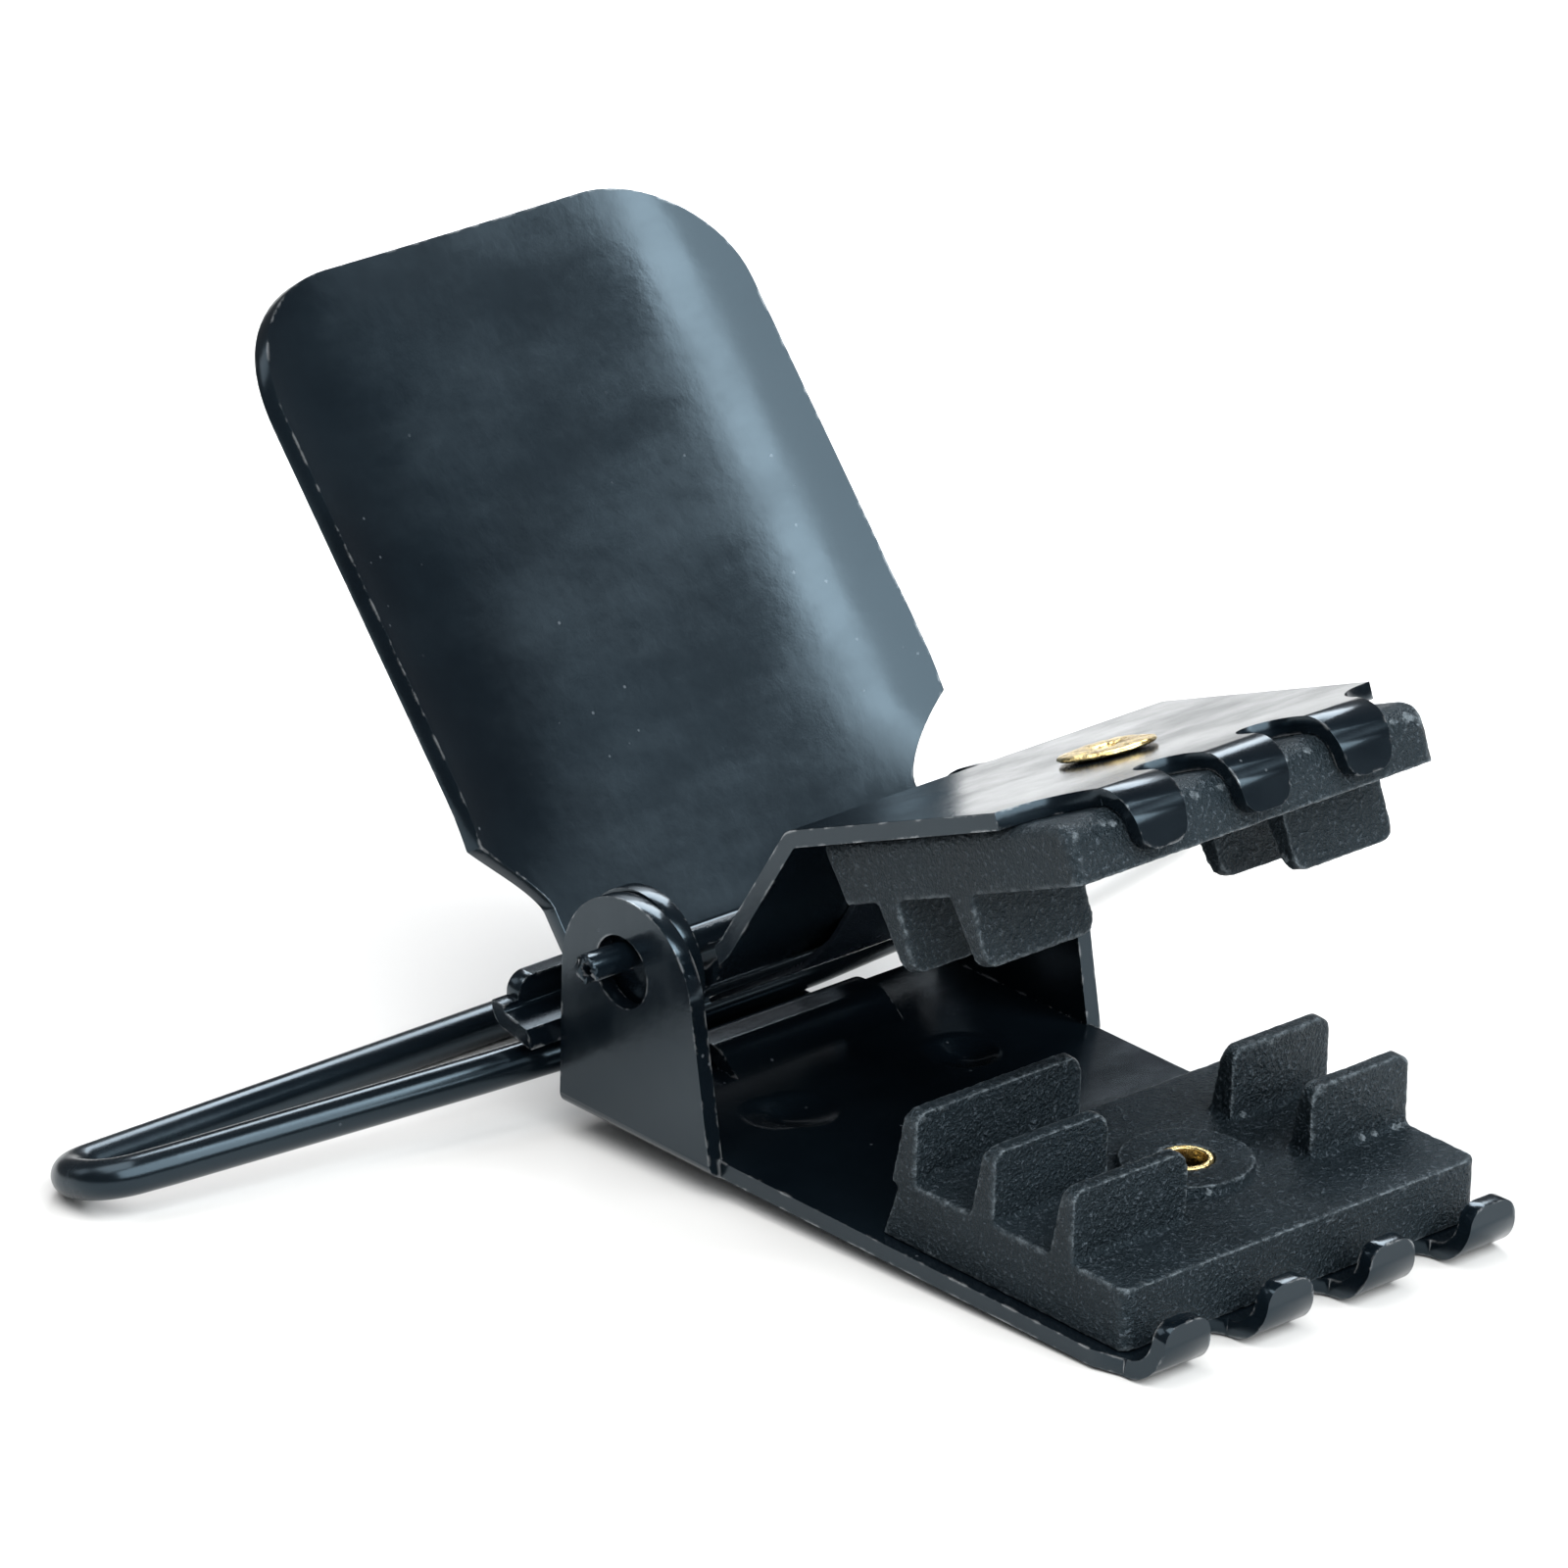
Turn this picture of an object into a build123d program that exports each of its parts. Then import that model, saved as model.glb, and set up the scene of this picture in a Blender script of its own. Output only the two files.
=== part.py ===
"""Spring clamp: a small sheet-steel clip that grips webbing between two toothed plastic jaws.

Units are millimetres. X points forward out of the mouth, Y across the clip, Z up.
The origin lies on the flat underside of the base plate, straight below the lever's pivot.
The clip is written out open. The jaw and the lever are drawn closed, then turned open.
"""
from build123d import *
import os

# Sheet steel and the three turning axes, as (x, z)
SHEET = 0.65
PIVOT = (0.0, 6.5)  # lever in the ears of the base
HINGE = (-4.1, 1.45)  # jaw and bail, both about the front bar of the bail
LEVER_OPENING = 131.1
JAW_OPENING = 22.5
BAIL_DROOP = 17.0

# Base plate
FLOOR_HALF = 9.2
FLOOR_FRONT = 26.0
EAR_INNER = 9.02
EAR_TOP = (0.30, 5.86)  # centre of the ear's round top
EAR_RADIUS = 3.56
EAR_REAR = EAR_TOP[0] - EAR_RADIUS
EAR_FRONT_FOOT = 5.08
EAR_HOLE = 1.40
FINGER_WIDTH = 2.6  # at the bend; a finger tapers towards its tip
FINGER_TAPER = 0.3
FINGER_TIP_ROUND = 0.75
BASE_FINGERS = (-7.5, -2.5, 2.5, 7.5)
BASE_FINGER_FACE = 27.8
BASE_FINGER_TOP = 2.4
FINGER_SIDE = 8.86  # outer side of the outermost fingers
HOOK_HALF = 3.0  # tongue that hooks the front bar of the bail
HOOK_BACK = -5.6
HOOK_TOP = 2.05
DIMPLE_BALL = 3.6
DIMPLE_DEPTH = 0.38

# Jaw plate, drawn closed
JAW_HALF = 9.1
JAW_TAIL_HALF = 8.0
JAW_TOP = 9.1
JAW_FINGERS = (-4.97, 0.0, 4.97)
JAW_FINGER_MIDDLE = 27.4
JAW_SLOPE = ((7.12, 5.0), (12.3, JAW_TOP - SHEET / 2))  # middle of the sheet behind the upper insert
JAW_FINGER_TIP = 6.6
JAW_FINGER_BEND = 1.2
SHOULDER_START = 23.87
YOKE_HALF = 10.6
YOKE_TILT = 12.0  # slope of the yoke strip above level when the jaw is open
YOKE_LENGTH = 1.9
YOKE_GAP = 0.83  # from the hinge axis to the underside of the strip
YOKE_WALL_HALF = 9.9
YOKE_WALL_TOP = 4.35
YOKE_WINDOW_HALF = 4.0  # opening over the hook of the base
YOKE_WINDOW_FRONT = -2.6

# Plastic inserts
INSERT_HALF = 8.68
LOWER_INSERT_REAR = 13.15
LOWER_INSERT_FRONT = 25.8
LOWER_INSERT_TOP = 3.15
LOWER_TOOTH_TOP = 5.95
UPPER_INSERT_REAR = 13.4
UPPER_INSERT_FRONT = 27.0
UPPER_INSERT_FLOOR = 6.1
UPPER_TOOTH_TIP = 3.4
INSERT_RAKE = (0.85, 0.6)  # how far the rear faces of the lower and upper insert lean
TOOTH_FOOT = 1.28
TOOTH_CREST = 0.65
TOOTH_CORNER = 0.6
BOSS = 2.5
BOSS_HEIGHT = 0.35

# Eyelets
EYELET_X = 19.7
EYELET_BORE = 0.76
EYELET_BARREL = 1.0
EYELET_HEAD = 1.9
EYELET_HEAD_HEIGHT = 0.35
EYELET_RIM = 1.55
FIT = 0.02  # gap all round between parts that are fixed together

# Lever, drawn closed. Lengths run forward from the top of its rear bend
LEVER_REAR = (0.49, 10.25)
LEVER_LENGTH = 28.67
LEVER_HALF = 11.5
LEVER_CORNER = 5.3
LEVER_SIDE_BEND = 4.5  # radius of the downturned sides
LEVER_SIDE_FOLD = (10.0, 11.32, 1.19)  # where a side turns down, where it ends, how far it falls
NECK_HALF = 8.9
NECK_LENGTH = 3.75
NECK_ROUND = 1.8
FLARE_LENGTH = 5.95
FLARE_ROUND = 0.8
WEB_FOOT = (0.62, 8.9)
LEVER_EAR_INNER = 8.2
LEVER_EAR_RADIUS = 2.95
LEVER_EAR_ROOT = ((0.3, 9.0), (0.6, 10.1), (2.0, 10.1), (2.5, 8.0))  # joins the ear to the handle
TRUNNION = 0.62  # the curled tabs are loose in the holes of the base
TRUNNION_BORE = 0.25
TRUNNION_SHIFT = (0.45, -0.27)  # they lie to one side of the turning axis
TRUNNION_MOUTH = 139.0
TRUNNION_END = 11.4

# Wire bail, as (distance behind the hinge, distance from the middle)
WIRE = 1.5
BAIL_BAR = 7.8
BAIL_HALF = 26.7
BAIL_LEG = ((0.0, 3.3), (1.3, 11.7), (3.9, 24.2), (4.55, BAIL_HALF))
BAIL_CORNER = 1.6

# Leaf spring under the jaw, drawn closed
LEAF = 0.25
LEAF_HALF = 3.6


def slab(section, y_from, y_to):
    """Solid with a section drawn in X and Z, reaching from one Y to another."""
    half = (y_to - y_from) / 2
    return Pos(0, (y_from + y_to) / 2, 0) * extrude(Plane.XZ * section, amount=half, both=True)


def both_sides(solid):
    """The solid together with its mirror image across the middle of the clip."""
    return solid + mirror(solid, about=Plane.XZ)


def strip(route, radius, half_width, thickness=SHEET):
    """Sheet bent along the middle line through the route, which is drawn in X and Z."""
    line = FilletPolyline(*route, radius=radius)
    return slab(trace(line, line_width=thickness), -half_width, half_width)


def plan(points, height=40.0):
    """Tall block with the given outline seen from above."""
    return extrude(Polygon(*points, align=None), amount=height, both=True)


def post(x, y, radius, z_from, z_to):
    """Upright round bar."""
    return Pos(x, y, z_from) * extrude(Circle(radius), amount=z_to - z_from)


def turned(solid, axis_point, degrees):
    """The solid turned about a cross axis. A positive angle lifts its front."""
    return solid.rotate(Axis((axis_point[0], 0, axis_point[1]), (0, -1, 0)), degrees)


def finger_gap(y, root, radius):
    """Round-bottomed cut between two fingers, open to the front."""
    return post(root + radius, y, radius, -10, 20) + Pos(root + radius + 5, y, 5) * Box(
        10, 2 * radius, 30
    )


def tongue(y, tip, direction):
    """Front outline of one finger, wide at its foot and narrow at its round-cornered tip."""
    half = FINGER_WIDTH / 2
    foot = tip - direction * 4
    outline = Polygon(
        (y - half + FINGER_TAPER, tip), (y + half - FINGER_TAPER, tip),
        (y + half + FINGER_TAPER, foot), (y - half - FINGER_TAPER, foot), align=None
    )
    ends = outline.vertices().sort_by(Axis.Y)
    ends = ends[-2:] if direction > 0 else ends[:2]
    return extrude(Plane.YZ * fillet(ends, FINGER_TIP_ROUND), amount=40, both=True)


def gaps_between(fingers, root):
    """Cuts between neighbouring fingers."""
    cuts = Part()
    for near, far in zip(fingers, fingers[1:]):
        cuts += finger_gap((near + far) / 2, root, (far - near - FINGER_WIDTH) / 2)
    return cuts


def base_plate():
    floor = Pos((EAR_REAR + FLOOR_FRONT) / 2, 0, SHEET / 2) * Box(
        FLOOR_FRONT - EAR_REAR, 2 * FLOOR_HALF, SHEET
    )
    curl_middle = BASE_FINGER_FACE - SHEET / 2
    curl = strip(
        [(20.0, SHEET / 2), (curl_middle, SHEET / 2), (curl_middle, BASE_FINGER_TOP)], 1.4, FLOOR_HALF
    )
    tongues = Part()
    for y in BASE_FINGERS:
        tongues += tongue(y, BASE_FINGER_TOP, 1)
    front = FLOOR_FRONT - 0.4
    curl = curl & (tongues + Pos(front - 20, 0, 0) * Box(40, 40, 10))
    plate = floor + curl - gaps_between(BASE_FINGERS, FLOOR_FRONT - 0.9)
    sides = [(-10, FLOOR_HALF), (front - 0.9, FLOOR_HALF), (front + 0.3, FINGER_SIDE), (40, FINGER_SIDE)]
    plate = plate & plan(sides + [(x, -y) for x, y in reversed(sides)])

    ear_outer = EAR_INNER + SHEET
    foot = Polyline((EAR_REAR, 0), (EAR_FRONT_FOOT, 0))
    ear_outline = make_hull((Pos(*EAR_TOP) * Circle(EAR_RADIUS)).edges() + foot.edges())
    ear_outline -= Pos(*PIVOT) * Circle(EAR_HOLE)
    channel = Pos(0, 0, 6) * Box(20, 2 * ear_outer, 12)
    channel = fillet(channel.edges().filter_by(Axis.X).sort_by(Axis.Z)[:2], 0.55)
    channel -= Pos(0, 0, 6 + SHEET) * Box(20, 2 * EAR_INNER, 12)
    plate += channel & slab(ear_outline, -ear_outer, ear_outer)

    hook_middle = HOOK_BACK + SHEET / 2
    hook = strip(
        [(EAR_REAR + 1, SHEET / 2), (hook_middle, SHEET / 2), (hook_middle, HOOK_TOP)], 0.35, HOOK_HALF
    )
    plate += hook
    bridge = strip([(-3.1, SHEET / 2), (-2.3, 1.2), (-1.0, 1.2), (0.2, SHEET / 2)], 0.8, 4.1)
    plate += bridge & Pos(0, 0, 5 + SHEET / 2) * Box(20, 20, 10)
    for y in (-4.0, 4.0):
        plate -= Pos(3.6, y, SHEET - DIMPLE_DEPTH + DIMPLE_BALL) * Sphere(DIMPLE_BALL)
    plate -= post(EYELET_X, 0, EYELET_BARREL + FIT, -1, 2)
    plate -= post(EYELET_X, 0, EYELET_RIM + FIT, -1, 0.3)
    return plate


def tooth(front, root, tip, y_from, y_to):
    """One tooth across the clip, upright in front and sloping behind."""
    section = Polygon(
        (front - TOOTH_FOOT, root), (front, root), (front, tip), (front - TOOTH_CREST, tip), align=None
    )
    solid = slab(section, y_from, y_to)
    ends = solid.edges().filter_by(Axis.X).filter_by(lambda edge: abs(edge.center().Z - tip) < 0.01)
    return fillet(ends, TOOTH_CORNER)


def lower_insert():
    section = Polygon(
        (LOWER_INSERT_REAR, SHEET), (LOWER_INSERT_FRONT, SHEET), (LOWER_INSERT_FRONT, LOWER_INSERT_TOP),
        (LOWER_INSERT_REAR + INSERT_RAKE[0], LOWER_INSERT_TOP), align=None
    )
    insert = slab(section, -INSERT_HALF, INSERT_HALF)
    insert = fillet(insert.edges().filter_by(Axis.Z), 0.5)
    root = LOWER_INSERT_TOP - 0.3
    for front, inner in ((14.8, -0.6), (18.9, -3.1), (23.0, -3.1)):
        insert += tooth(front, root, LOWER_TOOTH_TOP, -INSERT_HALF, inner)
    for front in (18.05, 22.15):
        insert += tooth(front, root, LOWER_TOOTH_TOP, 3.8, INSERT_HALF)
    insert += post(EYELET_X, 0, BOSS, LOWER_INSERT_TOP, LOWER_INSERT_TOP + BOSS_HEIGHT)
    insert -= post(EYELET_X, 0, EYELET_BARREL + FIT, 0, 5)
    return insert


def lower_eyelet():
    eyelet = post(EYELET_X, 0, EYELET_BARREL, 0.05, LOWER_INSERT_TOP + BOSS_HEIGHT)
    eyelet += post(EYELET_X, 0, EYELET_RIM, 0.05, 0.3 - FIT)
    return eyelet - post(EYELET_X, 0, EYELET_BORE, -1, 6)


def upper_insert():
    section = Polygon(
        (UPPER_INSERT_REAR, JAW_TOP - SHEET), (UPPER_INSERT_REAR + INSERT_RAKE[1], UPPER_INSERT_FLOOR),
        (UPPER_INSERT_FRONT, UPPER_INSERT_FLOOR), (UPPER_INSERT_FRONT, JAW_TOP - SHEET), align=None
    )
    insert = slab(section, -INSERT_HALF, INSERT_HALF)
    front_top = insert.edges().filter_by(Axis.Y).sort_by(lambda edge: edge.center().X + edge.center().Z)[-1]
    insert = fillet(front_top, 0.9)
    insert = fillet(insert.edges().filter_by(Axis.Z), 0.5)
    root = UPPER_INSERT_FLOOR + 0.3
    for front in (16.9, 20.95):
        insert += tooth(front, root, UPPER_TOOTH_TIP, -INSERT_HALF, -3.4)
    for front in (19.8, 23.8):
        insert += tooth(front, root, UPPER_TOOTH_TIP, 3.8, INSERT_HALF)
    insert += post(EYELET_X, 0, BOSS, UPPER_INSERT_FLOOR - BOSS_HEIGHT, UPPER_INSERT_FLOOR)
    insert -= post(EYELET_X, 0, EYELET_BARREL + FIT, 0, 12)
    return turned(insert, HINGE, JAW_OPENING)


def upper_eyelet():
    eyelet = post(EYELET_X, 0, EYELET_BARREL, UPPER_INSERT_FLOOR - BOSS_HEIGHT, JAW_TOP)
    head = post(EYELET_X, 0, EYELET_HEAD, JAW_TOP, JAW_TOP + EYELET_HEAD_HEIGHT)
    eyelet += fillet(head.edges().sort_by(Axis.Z)[-1], 0.25)
    eyelet -= post(EYELET_X, 0, EYELET_BORE, 0, 12)
    return turned(eyelet, HINGE, JAW_OPENING)


def jaw_plate():
    yoke = Location((HINGE[0], 0, HINGE[1])) * Rot(0, YOKE_TILT, 0)
    strip_middle = YOKE_GAP + SHEET / 2
    front_end = (yoke * Pos(0.15, 0, strip_middle)).position
    back_end = (yoke * Pos(-YOKE_LENGTH, 0, strip_middle)).position
    wall_x = back_end.X
    open_tail = [(wall_x, YOKE_WALL_TOP), (wall_x, back_end.Z), (front_end.X, front_end.Z)]
    to_closed = Pos(HINGE[0], 0, HINGE[1]) * Rot(0, JAW_OPENING, 0) * Pos(-HINGE[0], 0, -HINGE[1])
    tail = []
    for x, z in open_tail:
        point = (to_closed * Pos(x, 0, z)).position
        tail.append((point.X, point.Z))
    middle = JAW_TOP - SHEET / 2
    route = tail + [
        (-0.17, 3.04), (4.34, 3.75), *JAW_SLOPE,
        (JAW_FINGER_MIDDLE, middle), (JAW_FINGER_MIDDLE, JAW_FINGER_TIP)
    ]
    radii = [0.5, 0.5, 0.5, 1.5, 1.5, 0.6, JAW_FINGER_BEND]
    plate = strip(route, radii, YOKE_HALF)

    tongues = Part()
    for y in JAW_FINGERS:
        tongues += tongue(y, JAW_FINGER_TIP, -1)
    front = JAW_FINGER_MIDDLE - 1.1
    plate = plate & (tongues + Pos(front - 25, 0, 0) * Box(50, 40, 40))
    yoke_front = tail[2][0] - 0.2
    width = [
        (-12, YOKE_HALF), (yoke_front, YOKE_HALF), (yoke_front, JAW_TAIL_HALF), (5.2, JAW_TAIL_HALF),
        (6.6, JAW_HALF), (40, JAW_HALF)
    ]
    plate = plate & plan(width + [(x, -y) for x, y in reversed(width)])
    plate -= gaps_between(JAW_FINGERS, SHOULDER_START + 0.6)
    shoulder = JAW_HALF - JAW_FINGERS[-1] - FINGER_WIDTH / 2
    plate -= both_sides(post(SHOULDER_START + shoulder, JAW_HALF, shoulder, -10, 20))
    plate -= both_sides(Pos(SHOULDER_START + shoulder + 5, JAW_HALF, 5) * Box(10, 2 * shoulder, 30))
    plate -= post(EYELET_X, 0, EYELET_BARREL + FIT, 8, 12)
    plate = turned(plate, HINGE, JAW_OPENING)

    plate -= Pos(wall_x, 0, HINGE[1] + 2) * Box(2 * (YOKE_WINDOW_FRONT - wall_x), 2 * YOKE_WINDOW_HALF, 8)
    wall_side = Box(2, 4, 4, align=(Align.CENTER, Align.MIN, Align.MIN))
    plate -= both_sides(Pos(wall_x, YOKE_WALL_HALF, back_end.Z + SHEET / 2 + 0.2) * wall_side)
    wall_corners = plate.edges().filter_by(Axis.X).sort_by(Axis.Z)
    wall_corners = wall_corners.filter_by(
        lambda edge: abs(edge.center().Z - YOKE_WALL_TOP) < 0.01 and edge.center().X < HINGE[0]
    )
    return fillet(wall_corners, 0.7)


def leaf_spring():
    low, high = Vector(*JAW_SLOPE[0]), Vector(*JAW_SLOPE[1])
    along = (high - low).normalized()
    below = Vector(along.Y, -along.X) * (SHEET + LEAF) / 2
    bend, top = low + below - along * 1.4, high + below - along * 1.6
    route = [(top.X, top.Y), (bend.X, bend.Y), (4.25, 2.95), (-1.56, 1.93)]
    leaf = strip(route, 0.8, LEAF_HALF, LEAF)
    return turned(leaf, HINGE, JAW_OPENING)


def handle():
    """The broad part of the lever, lying level with the top of the rear bend at the origin."""
    points = [
        (0.6, -NECK_HALF), (NECK_LENGTH, -NECK_HALF), (FLARE_LENGTH, -LEVER_HALF),
        (LEVER_LENGTH, -LEVER_HALF), (LEVER_LENGTH, LEVER_HALF), (FLARE_LENGTH, LEVER_HALF),
        (NECK_LENGTH, NECK_HALF), (0.6, NECK_HALF)
    ]
    outline = Polygon(*points, align=None)
    for length, radius in ((LEVER_LENGTH, LEVER_CORNER), (FLARE_LENGTH, FLARE_ROUND), (NECK_LENGTH, NECK_ROUND)):
        corners = outline.vertices().filter_by(lambda vertex: abs(vertex.X - length) < 0.01)
        outline = fillet(corners, radius)

    fold, end, fall = LEVER_SIDE_FOLD
    middle = -SHEET / 2
    across = FilletPolyline(
        (-end, middle - fall), (-fold, middle), (fold, middle), (end, middle - fall), radius=LEVER_SIDE_BEND
    )
    sheet = extrude(Plane.YZ * trace(across, line_width=SHEET), amount=LEVER_LENGTH + 1, both=True)
    return sheet & extrude(outline, amount=5, both=True)


def lever():
    rear = Pos(LEVER_REAR[0], 0, LEVER_REAR[1])
    corner_x = LEVER_REAR[0] + 0.4
    sheet_z = LEVER_REAR[1] - SHEET / 2
    neck = strip([WEB_FOOT, (corner_x, sheet_z), (corner_x + 1.5, sheet_z)], 0.5, NECK_HALF)
    body = rear * handle() + neck

    ear_outline = Pos(*PIVOT) * Circle(LEVER_EAR_RADIUS) + Polygon(*LEVER_EAR_ROOT, align=None)
    ear = slab(ear_outline, LEVER_EAR_INNER, LEVER_EAR_INNER + SHEET)
    tube = Circle(TRUNNION) - Circle(TRUNNION_BORE)
    mouth = Polygon((0, 0), (3, -1.9), (3, 1.9), align=None)
    tab = Pos(*PIVOT) * Pos(*TRUNNION_SHIFT) * (tube - Rot(0, 0, TRUNNION_MOUTH) * mouth)
    trunnion = slab(tab, LEVER_EAR_INNER, TRUNNION_END)
    body += both_sides(ear + trunnion)
    return turned(body, PIVOT, LEVER_OPENING)


def wire_bail():
    leg = [(HINGE[0] - back, y, HINGE[1]) for back, y in BAIL_LEG]
    bar_x = HINGE[0] - BAIL_BAR
    start = (HINGE[0], 0, HINGE[1])
    corners = [start] + leg + [(bar_x, BAIL_HALF, HINGE[1]), (bar_x, 0, HINGE[1])]
    radii = [10.0, 30.0, 3.0, BAIL_CORNER, BAIL_CORNER]
    half = FilletPolyline(*corners, radius=radii)
    section = Plane(origin=start, x_dir=(1, 0, 0), z_dir=(0, 1, 0)) * Circle(WIRE / 2)
    bail = both_sides(sweep(section, path=half))
    return turned(bail, HINGE, BAIL_DROOP)


PARTS = (
    base_plate, lower_insert, lower_eyelet, jaw_plate, upper_insert, upper_eyelet,
    leaf_spring, lever, wire_bail
)

os.makedirs("parts", exist_ok=True)
for make in PARTS:
    export_step(make(), f"parts/{make.__name__}.step")
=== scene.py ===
"""Looks for the spring clamp: a painted sheet-steel clip with plastic inserts and brass eyelets."""
import math

import bmesh
import bpy
from mathutils import Matrix, Vector


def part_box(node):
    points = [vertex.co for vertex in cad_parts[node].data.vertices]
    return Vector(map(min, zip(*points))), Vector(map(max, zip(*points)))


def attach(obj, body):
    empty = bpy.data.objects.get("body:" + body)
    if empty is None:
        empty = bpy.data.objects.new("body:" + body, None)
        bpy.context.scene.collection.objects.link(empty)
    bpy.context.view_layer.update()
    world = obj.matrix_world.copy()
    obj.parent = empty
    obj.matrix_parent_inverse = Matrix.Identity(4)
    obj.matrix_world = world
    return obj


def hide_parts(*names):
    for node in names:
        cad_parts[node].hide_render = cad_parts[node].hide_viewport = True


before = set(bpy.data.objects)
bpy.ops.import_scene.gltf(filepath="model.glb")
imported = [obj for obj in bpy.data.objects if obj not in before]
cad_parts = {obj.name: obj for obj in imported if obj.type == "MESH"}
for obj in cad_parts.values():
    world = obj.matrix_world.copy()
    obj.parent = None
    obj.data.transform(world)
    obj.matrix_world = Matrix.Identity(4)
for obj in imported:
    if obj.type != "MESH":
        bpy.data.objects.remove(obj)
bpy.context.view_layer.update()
MM = 0.001


# ---------------------------------------------------------------- node helpers

class Nodes:
    """A material's node tree, with short ways to add and join nodes."""

    def __init__(self, name):
        self.material = bpy.data.materials.new(name)
        self.material.use_nodes = True
        self.tree = self.material.node_tree
        self.shader = self.tree.nodes["Principled BSDF"]
        self.place = self.add("ShaderNodeTexCoord").outputs["Object"]

    def add(self, kind, **settings):
        """Adds a node of a kind and sets its properties."""
        node = self.tree.nodes.new(kind)
        for key, value in settings.items():
            setattr(node, key, value)
        return node

    def put(self, value, socket):
        """Gives a socket a value, or joins it to another node's output."""
        if isinstance(value, bpy.types.NodeSocket):
            self.tree.links.new(value, socket)
        else:
            socket.default_value = value

    def noise(self, size, detail=3.0, rough=0.5, stretch=None):
        """Noise whose features are about size millimetres across."""
        node = self.add("ShaderNodeTexNoise")
        place = self.place
        if stretch:
            mapping = self.add("ShaderNodeMapping")
            mapping.inputs["Scale"].default_value = stretch
            self.put(place, mapping.inputs["Vector"])
            place = mapping.outputs["Vector"]
        self.put(place, node.inputs["Vector"])
        node.inputs["Scale"].default_value = 1 / (size * MM)
        node.inputs["Detail"].default_value = detail
        node.inputs["Roughness"].default_value = rough
        return node.outputs["Fac"]

    def specks(self, size):
        """Distance to the nearest of scattered points, size millimetres apart."""
        node = self.add("ShaderNodeTexVoronoi")
        self.put(self.place, node.inputs["Vector"])
        node.inputs["Scale"].default_value = 1 / (size * MM)
        return node.outputs["Distance"]

    def distance(self, centre):
        """Distance in metres to a point given in millimetres."""
        node = self.add("ShaderNodeVectorMath", operation="DISTANCE")
        self.put(self.place, node.inputs[0])
        node.inputs[1].default_value = Vector(centre) * MM
        return node.outputs["Value"]

    def span(self, value, low, high, to_low=0.0, to_high=1.0):
        """Eases low..high into to_low..to_high, held at the ends."""
        node = self.add("ShaderNodeMapRange", interpolation_type="SMOOTHSTEP")
        self.put(value, node.inputs["Value"])
        for key, number in zip(("From Min", "From Max", "To Min", "To Max"), (low, high, to_low, to_high)):
            node.inputs[key].default_value = number
        return node.outputs["Result"]

    def maths(self, operation, a, b=0.0):
        """One sum done on two values or outputs."""
        node = self.add("ShaderNodeMath", operation=operation)
        self.put(a, node.inputs[0])
        self.put(b, node.inputs[1])
        return node.outputs["Value"]

    def blend(self, factor, a, b):
        """Colour a where factor is 0 and b where it is 1."""
        node = self.add("ShaderNodeMix", data_type="RGBA")
        self.put(factor, node.inputs["Factor"])
        for value, socket in ((a, node.inputs["A"]), (b, node.inputs["B"])):
            self.put((*value, 1.0) if isinstance(value, tuple) else value, socket)
        return node.outputs["Result"]

    def edges(self, radius):
        """Near 0 on flat faces and up to 1 within radius millimetres of an edge."""
        bevel = self.add("ShaderNodeBevel", samples=6)
        bevel.inputs["Radius"].default_value = radius * MM
        flat = self.add("ShaderNodeNewGeometry").outputs["Normal"]
        dot = self.add("ShaderNodeVectorMath", operation="DOT_PRODUCT")
        self.put(bevel.outputs["Normal"], dot.inputs[0])
        self.put(flat, dot.inputs[1])
        return self.maths("SUBTRACT", 1.0, dot.outputs["Value"])

    def crests(self, low, high):
        """0 on flat and hollow places and 1 on the sharpest crests of a dense mesh."""
        shape = self.add("ShaderNodeNewGeometry").outputs["Pointiness"]
        return self.span(shape, low, high)

    def bump(self, height, depth, under=None):
        """Normal of a surface whose height field is depth millimetres deep."""
        node = self.add("ShaderNodeBump")
        node.inputs["Distance"].default_value = depth * MM
        self.put(height, node.inputs["Height"])
        if under:
            self.put(under, node.inputs["Normal"])
        return node.outputs["Normal"]

    def finish(self, **inputs):
        """Sets the shader's inputs. Underscores in the names stand for spaces."""
        for key, value in inputs.items():
            value = (*value, 1.0) if isinstance(value, tuple) else value
            self.put(value, self.shader.inputs[key.replace("_", " ")])
        return self.material


# ---------------------------------------------------------------- materials

PAINT_DARK = (0.0014, 0.0027, 0.0043)
PAINT_LIGHT = (0.0029, 0.0053, 0.0077)
PAINT_SHEEN = (0.62, 0.84, 1.0)
PAINT_ROUGHNESS = 0.18
PAINT_WEAR = 0.22  # bare metal shows where the edge measure is above this
DUST = (0.16, 0.18, 0.20)
BARE_STEEL = (0.46, 0.47, 0.48)
PLASTIC_DARK = (0.0016, 0.0036, 0.0051)
PLASTIC_LIGHT = (0.0040, 0.0072, 0.0097)
PLASTIC_SHEEN = (0.66, 0.86, 1.0)
# Colour of the painted highlights on the plastic's grain
PAINTED_GLINT = (0.10, 0.12, 0.14)
SCUFF = (0.20, 0.23, 0.25)
BRASS = (0.86, 0.66, 0.30)
STAINED_BRASS = (0.46, 0.30, 0.11)
# Colour of the painted shade deep inside the eyelets' bores
BORE_SHADE = (0.04, 0.025, 0.01)
DIMPLES = ((3.3, -4.9, 0.65), (3.7, 3.9, 0.65))  # round dents in the base's floor, in millimetres
DIMPLE_RADIUS = 1.5
DIMPLE_DEPTH = 0.35


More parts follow.
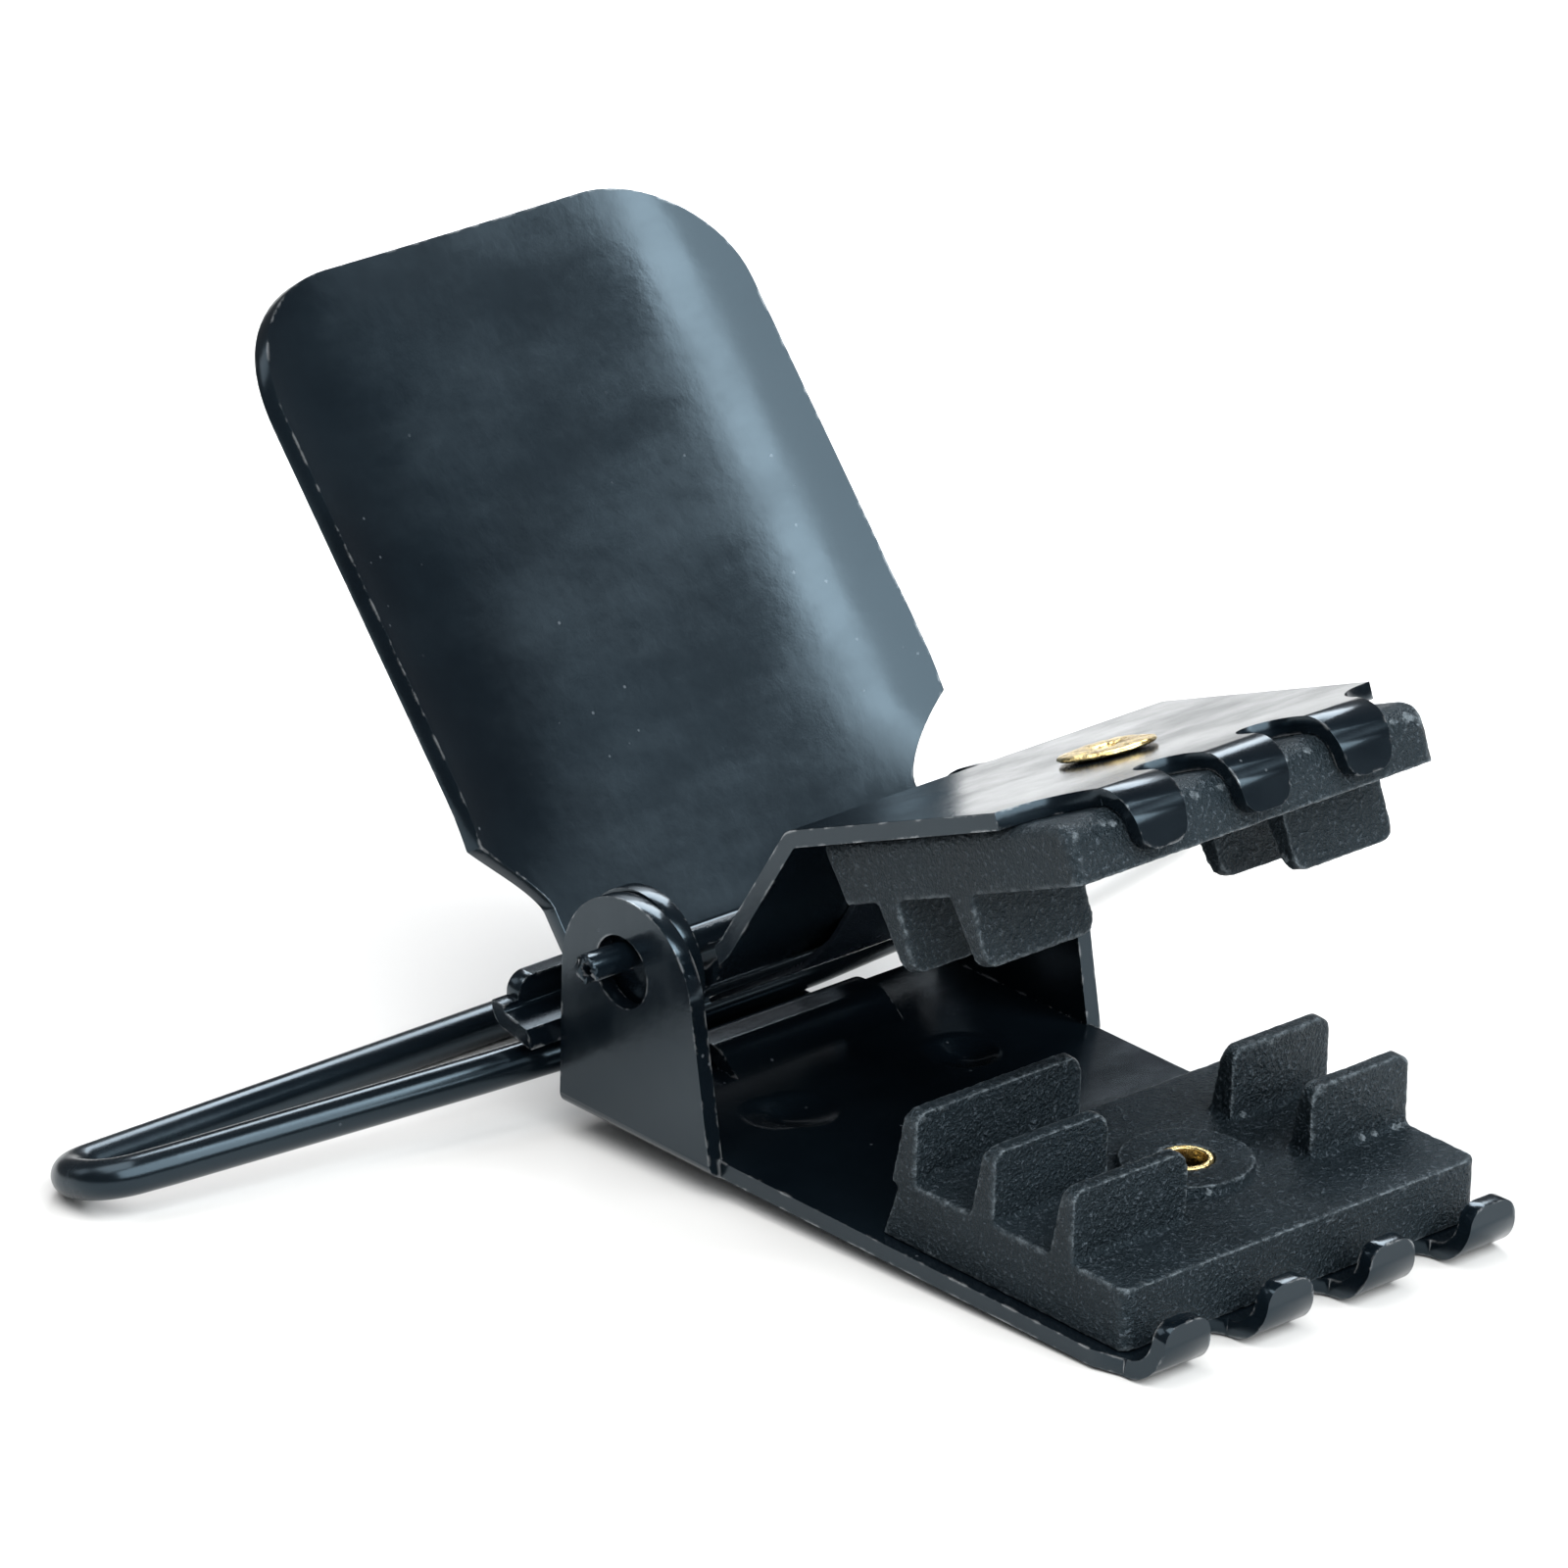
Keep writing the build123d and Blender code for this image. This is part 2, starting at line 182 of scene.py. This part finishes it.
def painted_steel(name, dark, light, rough, wear, dimples=()):
    """Thin satin blue-black paint, rubbed bright along sharp edges, on steel that may be dimpled."""
    n = Nodes(name)
    clouds = n.noise(9.0, 4.0, 0.6)
    paint = n.blend(n.span(clouds, 0.35, 0.7), dark, light)
    dust = n.maths("MULTIPLY", n.span(n.specks(0.9), 0.05, 0.09, 1, 0), n.span(n.noise(5.0), 0.52, 0.62))
    paint = n.blend(n.maths("MULTIPLY", dust, 0.35), paint, DUST)
    chips = n.maths("MULTIPLY", n.edges(0.28), n.span(n.noise(0.9, 5.0, 0.65), 0.46, 0.66, 0.25, 2.4))
    bare = n.span(chips, wear, wear + 0.30, 0.0, 0.7)
    colour = n.blend(bare, paint, BARE_STEEL)
    smears = n.noise(3.5, 6.0, 0.65, (1.0, 0.35, 0.6))
    gloss = n.span(smears, 0.3, 0.75, rough - 0.05, rough + 0.08)
    pressed = None
    for centre in dimples:
        pressed = n.bump(n.span(n.distance(centre), 0.2 * MM, DIMPLE_RADIUS * MM), DIMPLE_DEPTH, pressed)
    peel = n.bump(n.noise(0.8, 2.0), 0.006, pressed)
    grit = n.bump(n.noise(0.09, 2.0), 0.0015, peel)
    return n.finish(
        Base_Color=colour, Metallic=n.maths("MULTIPLY", bare, 0.85), Roughness=gloss, Normal=grit, IOR=1.5,
        Specular_Tint=PAINT_SHEEN
    )


def moulded_plastic():
    """Black nylon with a sandy grain and painted glints on the grain's peaks, scuffed pale along edges."""
    n = Nodes("moulded_plastic")
    clouds = n.noise(4.0, 3.0)
    body = n.blend(n.span(clouds, 0.35, 0.7), PLASTIC_DARK, PLASTIC_LIGHT)
    grain = n.noise(0.16, 3.0, 0.7)
    # Painted highlight: a lighter colour on the grain's peaks stands in for glints of light off the grain
    painted_glints = n.span(grain, 0.57, 0.66)
    body = n.blend(n.maths("MULTIPLY", painted_glints, 0.5), body, PAINTED_GLINT)
    patches = n.span(n.noise(0.35, 4.0, 0.7), 0.40, 0.62, 0.15, 1.0)
    scuffs = n.maths("MULTIPLY", n.crests(0.505, 0.56), patches)
    body = n.blend(n.maths("MULTIPLY", scuffs, 0.60), body, SCUFF)
    coarse = n.bump(n.noise(0.7, 3.0), 0.02)
    fine = n.bump(grain, 0.20, coarse)
    gloss = n.span(clouds, 0.3, 0.7, 0.32, 0.44)
    return n.finish(
        Base_Color=body, Roughness=gloss, Normal=fine, IOR=1.5, Specular_IOR_Level=0.38,
        Specular_Tint=PLASTIC_SHEEN
    )


def rolled_brass(name, tube_dark, tube_light):
    """Yellow brass, scratched and stained, with painted shade that is full below tube_dark and gone above
    tube_light.
    """
    n = Nodes(name)
    stains = n.span(n.noise(0.8, 5.0, 0.65), 0.42, 0.7)
    metal = n.blend(stains, BRASS, STAINED_BRASS)
    place = n.add("ShaderNodeSeparateXYZ")
    n.put(n.place, place.inputs["Vector"])
    # Painted shade: the brass darkens below a height, standing in for the shade deep inside the bore
    bore_shade = n.span(place.outputs["Z"], tube_dark * MM, tube_light * MM, 0.92, 0.0)
    metal = n.blend(bore_shade, metal, BORE_SHADE)
    scratches = n.noise(0.12, 3.0, 0.7, (1.0, 6.0, 1.0))
    gloss = n.span(scratches, 0.3, 0.7, 0.16, 0.36)
    dents = n.bump(n.noise(0.35, 3.0), 0.05)
    return n.finish(Base_Color=metal, Metallic=1.0, Roughness=gloss, Normal=n.bump(scratches, 0.006, dents))


def pale_floor():
    """Matt off-white table top."""
    n = Nodes("pale_floor")
    shade = n.blend(n.noise(60.0, 2.0), (0.665, 0.650, 0.635), (0.69, 0.675, 0.66))
    return n.finish(Base_Color=shade, Roughness=0.85, Specular_IOR_Level=0.2)


PAINT = painted_steel("painted_steel", PAINT_DARK, PAINT_LIGHT, PAINT_ROUGHNESS, PAINT_WEAR)
BASE_PAINT = painted_steel("base_paint", PAINT_DARK, PAINT_LIGHT, PAINT_ROUGHNESS, PAINT_WEAR, DIMPLES)
WIRE_PAINT = painted_steel("painted_wire", (0.0015, 0.0028, 0.0043), (0.0030, 0.0053, 0.0076), 0.22, 0.50)
SPRING_PAINT = painted_steel("blued_spring", (0.0050, 0.0070, 0.0105), (0.0090, 0.0120, 0.0170), 0.24, 0.50)
PLASTIC = moulded_plastic()
# Heights in millimetres: painted bore shade is full below the first and gone above the second
HEAD_BRASS = rolled_brass("rolled_brass", 5.0, 9.0)
TUBE_BRASS = rolled_brass("tube_brass", 2.9, 3.5)
NODE_MATERIALS = {
    "base_plate": BASE_PAINT, "jaw_plate": PAINT, "lever": PAINT, "wire_bail": WIRE_PAINT,
    "leaf_spring": SPRING_PAINT, "lower_insert": PLASTIC, "upper_insert": PLASTIC,
    "lower_eyelet": TUBE_BRASS, "upper_eyelet": HEAD_BRASS,
}


# ---------------------------------------------------------------- carried-over pieces

def soften_edges(piece, width):
    """Rounds the sharp edges of a piece of pressed sheet, as paint and tumbling leave them."""
    flat = piece.modifiers.new("merge_flats", "DECIMATE")
    flat.decimate_type = "DISSOLVE"
    flat.angle_limit = math.radians(0.8)
    bevel = piece.modifiers.new("edge_round", "BEVEL")
    bevel.width = width * MM
    bevel.segments = 2
    bevel.limit_method = "ANGLE"
    bevel.angle_limit = math.radians(38)
    piece.modifiers.new("even_shading", "WEIGHTED_NORMAL")
    shade_smooth(piece)


def shade_smooth(piece):
    """Shades every face of a piece as part of a smooth surface."""
    for face in piece.data.polygons:
        face.use_smooth = True


def weld(piece):
    """Joins the coincident corners that separate CAD faces leave."""
    join = piece.modifiers.new("join_faces", "WELD")
    join.merge_threshold = 0.002 * MM


def mould_surface(piece, voxel, texture, depth):
    """Gives a moulded piece soft edges and a real grainy skin."""
    remesh = piece.modifiers.new("skin", "REMESH")
    remesh.mode = "VOXEL"
    remesh.voxel_size = voxel * MM
    remesh.use_smooth_shade = True
    smooth = piece.modifiers.new("soft_edges", "SMOOTH")
    smooth.iterations = 3
    grain = piece.modifiers.new("grain", "DISPLACE")
    grain.texture = texture
    grain.texture_coords = "LOCAL"
    grain.strength = depth * MM
    grain.mid_level = 0.9


# Millimetres: the rounding of each piece's edges, and the grain and mesh size of the moulded skins.
EDGE_WIDTHS = {"base_plate": 0.10, "jaw_plate": 0.10, "leaf_spring": 0.05, "lower_eyelet": 0.06}
GRAIN_SIZE = 0.35
GRAIN_DEPTH = 0.06
SKIN_VOXEL = 0.10

for name, material in NODE_MATERIALS.items():
    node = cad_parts[name]
    for index in range(max(1, len(node.material_slots))):
        if index < len(node.material_slots):
            node.material_slots[index].material = material
        else:
            node.data.materials.append(material)

for name, width in EDGE_WIDTHS.items():
    weld(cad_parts[name])
    soften_edges(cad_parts[name], width)
weld(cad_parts["wire_bail"])
shade_smooth(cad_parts["wire_bail"])

grain_texture = bpy.data.textures.new("moulding_grain", "CLOUDS")
grain_texture.noise_scale = GRAIN_SIZE * MM
grain_texture.noise_depth = 2
for name in ("lower_insert", "upper_insert"):
    weld(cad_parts[name])
    mould_surface(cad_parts[name], SKIN_VOXEL, grain_texture, GRAIN_DEPTH)


# ---------------------------------------------------------------- pieces built here, in millimetres

SHEET = 0.65
PIVOT = Vector((0, 0, 6.5))
HINGE = Vector((-4.1, 0, 1.45))
LEVER_OPENING = 131.1
JAW_OPENING = 22.5

# The lever is drawn closed and level. Lengths along it run forward from its rear bend.
LEVER_REAR = 0.49
LEVER_LENGTH = 28.40
LEVER_MIDDLE = 9.925  # height of the middle of its sheet
LEVER_HALF = 11.5
LEVER_CORNER = 5.3
LEVER_DISH = ((0.28, 2), (0.91, 6))  # two falls at its sides, each with the power that it grows by
DISH_START, DISH_FULL = 1.0, 8.0
TIP_START, TIP_SPAN, TIP_FALL = 25, 3.67, 0.20
LEVER_EDGE = 0.08
NECK_HALF = 8.9
NECK_END = 3.1
FLARE_END = 5.95
WEB_FOOT = Vector((0.62, 8.9))
WEB_CORNER = Vector((0.89, LEVER_MIDDLE))
WEB_BEND = 0.6
SLOPE_STEP = 0.01
EAR_RADIUS = 2.95
EAR_SIDES = (8.2, 8.85)
EAR_ROOT = ((0.3, 9.0), (0.6, 9.9), (2.0, 9.9), (2.5, 8.0))
ROOT_SIDES = (8.22, 8.83)
TRUNNION_MIDDLE = (0.45, 6.23)
TRUNNION_RADII = (0.60, 0.27)
TRUNNION_MOUTH = 169.0
TRUNNION_SIDES = (8.5, 11.25)
TRUNNION_TEAR = 0.10  # how unevenly the curl ends

# The upper eyelet's section, as radius and height: up its barrel, over its head and down its bore.
EYELET_X = 19.7
EYELET_SECTION = (
    (0.76, 5.75), (1.0, 5.75), (1.0, 9.1), (1.5, 9.16), (1.80, 9.2), (1.87, 9.26), (1.83, 9.34), (1.6, 9.39),
    (1.2, 9.42), (0.80, 9.41), (0.52, 9.38), (0.38, 9.26), (0.36, 9.0), (0.46, 8.8), (0.76, 8.5)
)
EYELET_TOP = 9.44
EYELET_RIPPLE = 0.018  # how far its rim waves, as a share of the radius
EYELET_SQUEEZE = 0.02
EYELET_DENT = 0.02
EYELET_STEPS = 96


def add_piece(name, points, faces, material, node, body):
    """Object from a mesh drawn in millimetres, which takes the place of a CAD node."""
    mesh = bpy.data.meshes.new(name)
    mesh.from_pydata([Vector(p) * MM for p in points], [], faces)
    shell = bmesh.new()
    shell.from_mesh(mesh)
    bmesh.ops.recalc_face_normals(shell, faces=shell.faces)
    shell.to_mesh(mesh)
    shell.free()
    mesh.materials.append(material)
    piece = bpy.data.objects.new(name, mesh)
    bpy.context.scene.collection.objects.link(piece)
    shade_smooth(piece)
    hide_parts(node)
    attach(piece, body)
    return piece


def lifted(point, axis, degrees):
    """The point turned about a cross axis so that what lies in front of it rises."""
    return axis + Matrix.Rotation(math.radians(-degrees), 3, "Y") @ (Vector(point) - axis)


def ease(value, low, high):
    """0 below low and 1 above high, with a smooth climb between."""
    x = min(1.0, max(0.0, (value - low) / (high - low)))
    return x * x * (3 - 2 * x)


def lever_half(length):
    """Half the lever's width at a length, up to its front corners."""
    flare = min(1.0, max(0.0, (length - NECK_END) / (FLARE_END - NECK_END)))
    return NECK_HALF + (LEVER_HALF - NECK_HALF) * flare ** 1.5


def lever_drop(length, y):
    """How far the pressed sheet lies below its own middle line."""
    share = abs(y) / LEVER_HALF
    sides = ease(length, DISH_START, DISH_FULL) * sum(fall * share ** power for fall, power in LEVER_DISH)
    tip = TIP_FALL * max(0.0, (length - TIP_START) / TIP_SPAN) ** 2
    return sides + tip


def lever_stations():
    """Places along the lever's middle line: x, z, heading and half width."""
    rise = (WEB_CORNER - WEB_FOOT).normalized()
    heading = math.atan2(rise.y, rise.x)
    start = WEB_CORNER - rise * WEB_BEND * math.tan(heading / 2)
    stations = []
    for step in range(5):
        place = WEB_FOOT.lerp(start, step / 5)
        stations.append((place.x, place.y, heading, NECK_HALF))
    for step in range(9):
        angle = heading * (1 - step / 8)
        x = start.x + WEB_BEND * (math.sin(heading) - math.sin(angle))
        z = start.y + WEB_BEND * (math.cos(angle) - math.cos(heading))
        stations.append((x, z, angle, NECK_HALF))
    lengths = [1.2, 1.8, 2.4]
    lengths += [NECK_END + (FLARE_END - NECK_END) * step / 12 for step in range(13)]
    last = LEVER_LENGTH - LEVER_CORNER
    lengths += [FLARE_END + (last - FLARE_END) * step / 24 for step in range(1, 24)]
    for length in lengths:
        stations.append((LEVER_REAR + length, LEVER_MIDDLE, 0.0, lever_half(length)))
    for step in range(19):
        turn = math.radians(90 * step / 18)
        x = LEVER_REAR + last + LEVER_CORNER * math.sin(turn)
        stations.append((x, LEVER_MIDDLE, 0.0, LEVER_HALF - LEVER_CORNER * (1 - math.cos(turn))))
    return stations


def lever_sheet():
    """Both faces and the cut edge of the lever's bent and dished sheet, drawn closed."""
    stations = lever_stations()
    shares = [math.sin(math.radians(a)) for a in range(-90, 91, 6)]
    wide = len(shares)
    points = []
    for side in (0.5, -0.5):
        for x, z, heading, half in stations:
            along = Vector((math.cos(heading), 0, math.sin(heading)))
            out = Vector((-math.sin(heading), 0, math.cos(heading)))
            length = x - LEVER_REAR
            for share in shares:
                y = share * half
                drop = lever_drop(length, y)
                slope_x = (lever_drop(length + SLOPE_STEP, y) - drop) / SLOPE_STEP
                slope_y = (lever_drop(length, y + SLOPE_STEP) - drop) / SLOPE_STEP
                normal = (out + along * slope_x + Vector((0, 1, 0)) * slope_y).normalized()
                points.append(Vector((x, y, z)) - out * drop + normal * side * SHEET)
    return points, sheet_faces(len(stations), wide)


def sheet_faces(high, wide):
    """Faces of two grids of points, one behind the other, and of the rim between them."""
    def corner(side, place):
        return (side * high + place[0]) * wide + place[1]

    faces = []
    for i in range(high - 1):
        for j in range(wide - 1):
            quad = [(i, j), (i + 1, j), (i + 1, j + 1), (i, j + 1)]
            faces.append([corner(0, place) for place in quad])
            faces.append([corner(1, place) for place in reversed(quad)])
    rim = [(0, j) for j in range(wide)] + [(i, wide - 1) for i in range(1, high)]
    rim += [(high - 1, j) for j in range(wide - 2, -1, -1)] + [(i, 0) for i in range(high - 2, 0, -1)]
    for here, there in zip(rim, rim[1:] + rim[:1]):
        faces.append([corner(0, here), corner(0, there), corner(1, there), corner(1, here)])
    return faces


def prism(outline, y_from, y_to, skew=0.0):
    """Closed mesh of an outline in X and Z, from one Y to another. Skew makes the second end uneven."""
    count = len(outline)
    points = [Vector((x, y_from, z)) for x, z in outline]
    points += [Vector((x, y_to - skew * math.sin(2.3 * k), z)) for k, (x, z) in enumerate(outline)]
    faces = [list(range(count)), list(range(2 * count - 1, count - 1, -1))]
    faces += [[k, (k + 1) % count, (k + 1) % count + count, k + count] for k in range(count)]
    return points, faces


def arc(centre, radius, start, end, steps):
    """Points on a circle from a start angle to an end angle, in degrees."""
    angles = [math.radians(start + (end - start) * step / steps) for step in range(steps + 1)]
    return [(centre[0] + radius * math.cos(a), centre[1] + radius * math.sin(a)) for a in angles]


def lever_piece():
    """The whole lever: dished sheet, two side ears and two curled trunnions."""
    points, faces = lever_sheet()
    ear = arc((PIVOT.x, PIVOT.z), EAR_RADIUS, 0, 352.5, 47)
    curl_from, curl_to = TRUNNION_MOUTH + 35, TRUNNION_MOUTH + 325
    outer, inner = TRUNNION_RADII
    curl = arc(TRUNNION_MIDDLE, outer, curl_from, curl_to, 22)
    curl += arc(TRUNNION_MIDDLE, inner, curl_to, curl_from, 14)
    for side in (-1, 1):
        solids = [
            prism(ear, *(side * y for y in EAR_SIDES)),
            prism(EAR_ROOT, *(side * y for y in ROOT_SIDES)),
            prism(curl, *(side * y for y in TRUNNION_SIDES), side * TRUNNION_TEAR),
        ]
        for more_points, more_faces in solids:
            shift = len(points)
            points += more_points
            faces += [[index + shift for index in face] for face in more_faces]
    points = [lifted(point, PIVOT, LEVER_OPENING) for point in points]
    piece = add_piece("lever_pressing", points, faces, PAINT, "lever", "lever")
    bevel = piece.modifiers.new("edge_round", "BEVEL")
    bevel.width = LEVER_EDGE * MM
    bevel.segments = 2
    bevel.limit_method = "ANGLE"
    bevel.angle_limit = math.radians(42)


def brass_head():
    """The rolled-over eyelet, flattened unevenly by the rivet tool."""
    points = []
    for step in range(EYELET_STEPS):
        angle = 2 * math.pi * step / EYELET_STEPS
        wave = math.sin(3 * angle + 1) * 0.6 + math.sin(7 * angle) * 0.4 + math.sin(17 * angle + 2) * 0.3
        for radius, height in EYELET_SECTION:
            flat = ease(radius, 1.1, 1.8)
            rim = radius * (1 + EYELET_RIPPLE * wave * flat) * (1 - EYELET_SQUEEZE * flat)
            dented = min(EYELET_TOP, height + EYELET_DENT * wave * ease(height, 9.1, 9.3))
            place = Vector((EYELET_X + rim * math.cos(angle), rim * math.sin(angle), dented))
            points.append(lifted(place, HINGE, JAW_OPENING))
    count = len(EYELET_SECTION)
    faces = []
    for step in range(EYELET_STEPS):
        here = step * count
        there = (step + 1) % EYELET_STEPS * count
        for k in range(count):
            following = (k + 1) % count
            faces.append([here + k, there + k, there + following, here + following])
    add_piece("rolled_eyelet", points, faces, HEAD_BRASS, "upper_eyelet", "jaw")


lever_piece()
brass_head()


# ---------------------------------------------------------------- studio

CAMERA_AZIMUTH = 47.68
CAMERA_ELEVATION = 24.03
CAMERA_ROLL = 1.34
CAMERA_PLACE = Vector((321.1, -294.3, 205.4)) * MM
LENS = 300.0
CLIP_MIDDLE = Vector((5, 0, 8)) * MM
TABLE_HALF = 3.0
TABLE_GAP = 0.02  # the table lies this far below what stands on it, in millimetres


def camera():
    """Long lens, a little above the clip and turned to its side."""
    data = bpy.data.cameras.new("camera")
    data.lens = LENS
    data.sensor_width = 36.0
    data.clip_start = 0.01
    data.clip_end = 20.0
    side, rise, roll = (math.radians(a) for a in (CAMERA_AZIMUTH, CAMERA_ELEVATION, CAMERA_ROLL))
    back = Vector((math.sin(side) * math.cos(rise), -math.cos(side) * math.cos(rise), math.sin(rise)))
    right = Vector((math.cos(side), math.sin(side), 0))
    turn = Matrix.Rotation(roll, 3, back)
    right = turn @ right
    up = back.cross(right)
    rig = bpy.data.objects.new("camera", data)
    rig.matrix_world = Matrix.Translation(CAMERA_PLACE) @ Matrix((right, up, back)).transposed().to_4x4()
    bpy.context.scene.collection.objects.link(rig)
    bpy.context.scene.camera = rig


def softbox(name, direction, distance, size, power, colour=(1, 1, 1), aim=None):
    """Rectangular area light, some way off in a direction, that looks at the clip or at another point."""
    data = bpy.data.lights.new(name, "AREA")
    data.shape = "RECTANGLE"
    data.size, data.size_y = size
    data.energy = power
    data.color = colour
    rig = bpy.data.objects.new(name, data)
    rig.location = CLIP_MIDDLE + Vector(direction).normalized() * distance
    away = (rig.location - (aim or CLIP_MIDDLE)).normalized()
    rig.rotation_euler = away.to_track_quat("Z", "Y").to_euler()
    bpy.context.scene.collection.objects.link(rig)


def studio_floor():
    """Table top that the clip's front and the bail's rear bar both touch."""
    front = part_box("base_plate")[1].x
    rear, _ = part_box("wire_bail")
    slope = rear.z / (rear.x - front)
    mesh = bpy.data.meshes.new("table")
    corners = []
    for side_x, side_y in ((-1, -1), (1, -1), (1, 1), (-1, 1)):
        x = side_x * TABLE_HALF
        corners.append((x, side_y * TABLE_HALF, (x - front) * slope - TABLE_GAP * MM))
    mesh.from_pydata(corners, [], [(0, 1, 2, 3)])
    table = bpy.data.objects.new("table", mesh)
    mesh.materials.append(pale_floor())
    bpy.context.scene.collection.objects.link(table)


def surroundings():
    """Dim, even light from all round."""
    world = bpy.data.worlds.new("studio")
    world.use_nodes = True
    background = world.node_tree.nodes["Background"]
    background.inputs["Color"].default_value = (0.93, 0.96, 1.0, 1.0)
    background.inputs["Strength"].default_value = 0.14
    bpy.context.scene.world = world
    bpy.context.scene.view_settings.view_transform = "Standard"


camera()
studio_floor()
surroundings()
softbox("key", (0.72, -0.12, 0.70), 0.6, (0.80, 0.50), 6.8, (0.94, 0.98, 1.0))
softbox("strip", (0.62, 0.42, 0.70), 0.6, (0.16, 0.50), 1.4, (0.94, 0.98, 1.0))
softbox("side_fill", (0.56, 0.63, 0.56), 0.7, (0.15, 0.55), 0.15, (0.88, 0.95, 1.0))
softbox("overhead", (-0.15, -0.30, 1.0), 0.9, (0.7, 0.7), 6.0)
softbox("rear_glow", (-0.75, -0.5, 0.5), 0.8, (0.3, 0.3), 0.5, (0.92, 0.96, 1.0))
softbox(
    "table_glow", (-0.56, 0.50, 0.66), 0.125, (0.07, 0.07), 0.16, (0.92, 0.96, 1.0),
    Vector((-0.055, 0.050, 0))
)
